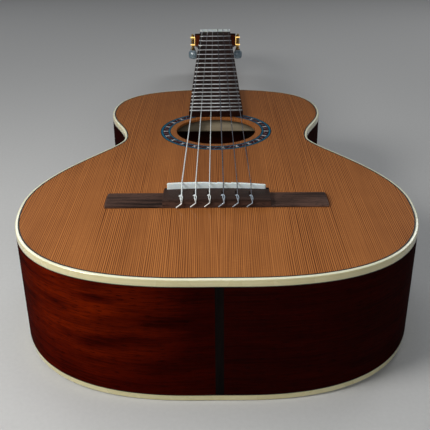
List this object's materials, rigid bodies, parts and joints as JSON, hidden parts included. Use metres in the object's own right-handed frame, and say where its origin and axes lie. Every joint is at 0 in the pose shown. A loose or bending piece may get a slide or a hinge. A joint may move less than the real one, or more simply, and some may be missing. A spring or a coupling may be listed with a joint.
{
  "type": "classical guitar",
  "caption": "Small-bodied classical guitar with a hollow body, fan-braced soundboard, inlaid rosette, tie-block bridge, slotted head and geared tuning machines that turn.",
  "frame": {"origin": "point on the flat crown of the back, below the end of the string scale, on the centre line", "axes": "+Y from the tail to the head along the centre line, +Z out of the soundboard, +X to the treble side"},
  "size_m": [0.3292, 0.968, 0.1201],
  "materials": {
    "cedar": "satin varnish over straight-grained softwood",
    "spruce": "bare planed softwood",
    "mahogany": "gloss varnish, dark reddish brown",
    "neck_wood": "satin varnish, reddish brown",
    "rosewood": "oiled dark open-grained wood",
    "ebony": "polished near black wood",
    "binding": "polished cream strip",
    "mosaic": "inlaid wood mosaic under varnish",
    "bone": "polished white bone substitute",
    "nickel": "polished nickel silver",
    "brass": "gold coloured plate, polished",
    "roller_plastic": "white",
    "pearl": "swirled pearl plastic",
    "wound_string": "silver plated wire winding",
    "nylon": "clear nylon"
  },
  "bodies": {
    "instrument": {"soundboard": "cedar", "rosette": "mosaic", "back_plate": "mahogany", "top_binding": "binding", "back_binding": "binding", "side_bass": "mahogany", "side_treble": "mahogany", "top_lining_bass": "spruce", "top_lining_treble": "spruce", "back_lining_bass": "spruce", "back_lining_treble": "spruce", "tail_graft": "ebony", "tail_block": "spruce", "neck_block": "neck_wood", "upper_harmonic_bar": "spruce", "lower_harmonic_bar": "spruce", "fan_bracing": "spruce", "back_brace_1": "spruce", "back_brace_2": "spruce", "back_brace_3": "spruce", "neck": "neck_wood", "heel_cap": "rosewood", "head_veneer": "rosewood", "fingerboard": "rosewood", "frets": "nickel", "nut": "bone", "bridge": "rosewood", "saddle": "bone", "tuner_plate_bass": "brass", "tuner_plate_treble": "brass", "string_1": "nylon", "string_2": "nylon", "string_3": "nylon", "string_4": "wound_string", "string_5": "wound_string", "string_6": "wound_string"},
    "worm_1_bass": {"worm_shaft_1_bass": "brass", "button_1_bass": "pearl"},
    "drum_1_bass": {"roller_1_bass": "roller_plastic", "gear_1_bass": "brass"},
    "worm_2_bass": {"worm_shaft_2_bass": "brass", "button_2_bass": "pearl"},
    "drum_2_bass": {"roller_2_bass": "roller_plastic", "gear_2_bass": "brass"},
    "worm_3_bass": {"worm_shaft_3_bass": "brass", "button_3_bass": "pearl"},
    "drum_3_bass": {"roller_3_bass": "roller_plastic", "gear_3_bass": "brass"},
    "worm_1_treble": {"worm_shaft_1_treble": "brass", "button_1_treble": "pearl"},
    "drum_1_treble": {"roller_1_treble": "roller_plastic", "gear_1_treble": "brass"},
    "worm_2_treble": {"worm_shaft_2_treble": "brass", "button_2_treble": "pearl"},
    "drum_2_treble": {"roller_2_treble": "roller_plastic", "gear_2_treble": "brass"},
    "worm_3_treble": {"worm_shaft_3_treble": "brass", "button_3_treble": "pearl"},
    "drum_3_treble": {"roller_3_treble": "roller_plastic", "gear_3_treble": "brass"}
  },
  "joints": [
    {"name": "turn_worm_1_bass", "type": "hinge", "parent": "instrument", "child": "worm_1_bass", "pos_m": [-0.0401, 0.69495, 0.08689], "axis": [0, 0.2419, 0.9703], "continuous": true},
    {"name": "turn_drum_1_bass", "type": "hinge", "parent": "instrument", "child": "drum_1_bass", "pos_m": [-0.022, 0.70378, 0.08469], "axis": [1, 0, 0], "continuous": true},
    {"name": "turn_worm_2_bass", "type": "hinge", "parent": "instrument", "child": "worm_2_bass", "pos_m": [-0.0401, 0.72891, 0.07842], "axis": [0, 0.2419, 0.9703], "continuous": true},
    {"name": "turn_drum_2_bass", "type": "hinge", "parent": "instrument", "child": "drum_2_bass", "pos_m": [-0.022, 0.73774, 0.07622], "axis": [1, 0, 0], "continuous": true},
    {"name": "turn_worm_3_bass", "type": "hinge", "parent": "instrument", "child": "worm_3_bass", "pos_m": [-0.0401, 0.76287, 0.06995], "axis": [0, 0.2419, 0.9703], "continuous": true},
    {"name": "turn_drum_3_bass", "type": "hinge", "parent": "instrument", "child": "drum_3_bass", "pos_m": [-0.022, 0.7717, 0.06775], "axis": [1, 0, 0], "continuous": true},
    {"name": "turn_worm_1_treble", "type": "hinge", "parent": "instrument", "child": "worm_1_treble", "pos_m": [0.0401, 0.69495, 0.08689], "axis": [0, 0.2419, 0.9703], "continuous": true},
    {"name": "turn_drum_1_treble", "type": "hinge", "parent": "instrument", "child": "drum_1_treble", "pos_m": [0.022, 0.70378, 0.08469], "axis": [1, 0, 0], "continuous": true},
    {"name": "turn_worm_2_treble", "type": "hinge", "parent": "instrument", "child": "worm_2_treble", "pos_m": [0.0401, 0.72891, 0.07842], "axis": [0, 0.2419, 0.9703], "continuous": true},
    {"name": "turn_drum_2_treble", "type": "hinge", "parent": "instrument", "child": "drum_2_treble", "pos_m": [0.022, 0.73774, 0.07622], "axis": [1, 0, 0], "continuous": true},
    {"name": "turn_worm_3_treble", "type": "hinge", "parent": "instrument", "child": "worm_3_treble", "pos_m": [0.0401, 0.76287, 0.06995], "axis": [0, 0.2419, 0.9703], "continuous": true},
    {"name": "turn_drum_3_treble", "type": "hinge", "parent": "instrument", "child": "drum_3_treble", "pos_m": [0.022, 0.7717, 0.06775], "axis": [1, 0, 0], "continuous": true}
  ],
  "couplings": [
    {"joint": "turn_drum_1_bass", "follows": "turn_worm_1_bass", "ratio": 0.071429},
    {"joint": "turn_drum_2_bass", "follows": "turn_worm_2_bass", "ratio": 0.071429},
    {"joint": "turn_drum_3_bass", "follows": "turn_worm_3_bass", "ratio": 0.071429},
    {"joint": "turn_drum_1_treble", "follows": "turn_worm_1_treble", "ratio": 0.071429},
    {"joint": "turn_drum_2_treble", "follows": "turn_worm_2_treble", "ratio": 0.071429},
    {"joint": "turn_drum_3_treble", "follows": "turn_worm_3_treble", "ratio": 0.071429}
  ]
}
